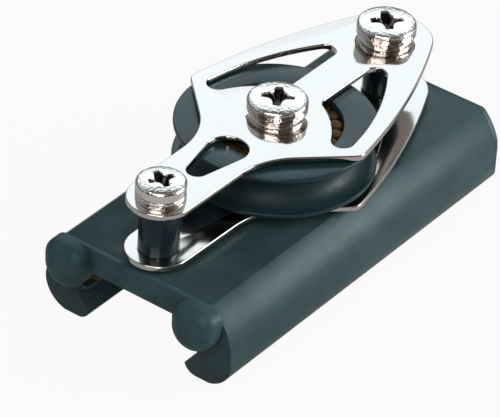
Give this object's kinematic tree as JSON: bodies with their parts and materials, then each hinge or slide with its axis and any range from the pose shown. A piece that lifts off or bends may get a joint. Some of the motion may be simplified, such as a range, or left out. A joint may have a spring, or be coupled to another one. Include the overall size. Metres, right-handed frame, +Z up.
{
  "type": "genoa lead car",
  "caption": "Ball-bearing track car with a flat-lying grooved sheave between two polished cheek plates, held by pan-head screws on a black C-shaped body with end caps.",
  "frame": {"origin": "under the centre screw, at the underside of the foot lips, which is the middle of the bounding box's base", "axes": "+X along the track towards the car's rear, +Y to the car's left, +Z up through the sheave"},
  "size_m": [0.0936, 0.045, 0.0363],
  "materials": {
    "hard_anodised_black": "satin, hard anodised black with a teal cast",
    "moulded_black": "moulded, soft sheen",
    "bearing_balls": "moulded and ground, amber brown",
    "polished_stainless": "mirror polished stainless steel",
    "sheave_anodised": "satin, hard anodised black",
    "hub_grey": "satin, hard anodised grey",
    "amber_polymer": "smooth, amber brown",
    "ring_black": "plain moulded",
    "spacer_black": "satin, hard anodised black",
    "fastener_stainless": "bright stainless steel"
  },
  "bodies": {
    "car": {"car_body": "hard_anodised_black", "front_end_cap": "moulded_black", "rear_end_cap": "moulded_black", "left_balls": "bearing_balls", "right_balls": "bearing_balls", "lower_cheek_plate": "polished_stainless", "upper_cheek_plate": "polished_stainless", "bearing_hub": "hub_grey", "front_foot_ring": "ring_black", "centre_foot_ring": "ring_black", "rear_foot_ring": "ring_black", "front_spacer": "spacer_black", "rear_spacer": "spacer_black", "front_lock_washer": "fastener_stainless", "centre_lock_washer": "fastener_stainless", "rear_lock_washer": "fastener_stainless", "front_screw": "fastener_stainless", "centre_screw": "fastener_stainless", "rear_screw": "fastener_stainless"},
    "sheave": {"sheave": "sheave_anodised"},
    "roller_ring": {"bearing_rollers": "amber_polymer"}
  },
  "joints": [
    {"name": "sheave_turn", "type": "hinge", "parent": "car", "child": "sheave", "pos_m": [0, 0, 0.02595], "axis": [0, 0, 1], "continuous": true},
    {"name": "roller_turn", "type": "hinge", "parent": "car", "child": "roller_ring", "pos_m": [0, 0, 0.02595], "axis": [0, 0, 1], "continuous": true}
  ],
  "couplings": [
    {"joint": "roller_turn", "follows": "sheave_turn", "ratio": 0.5674}
  ]
}
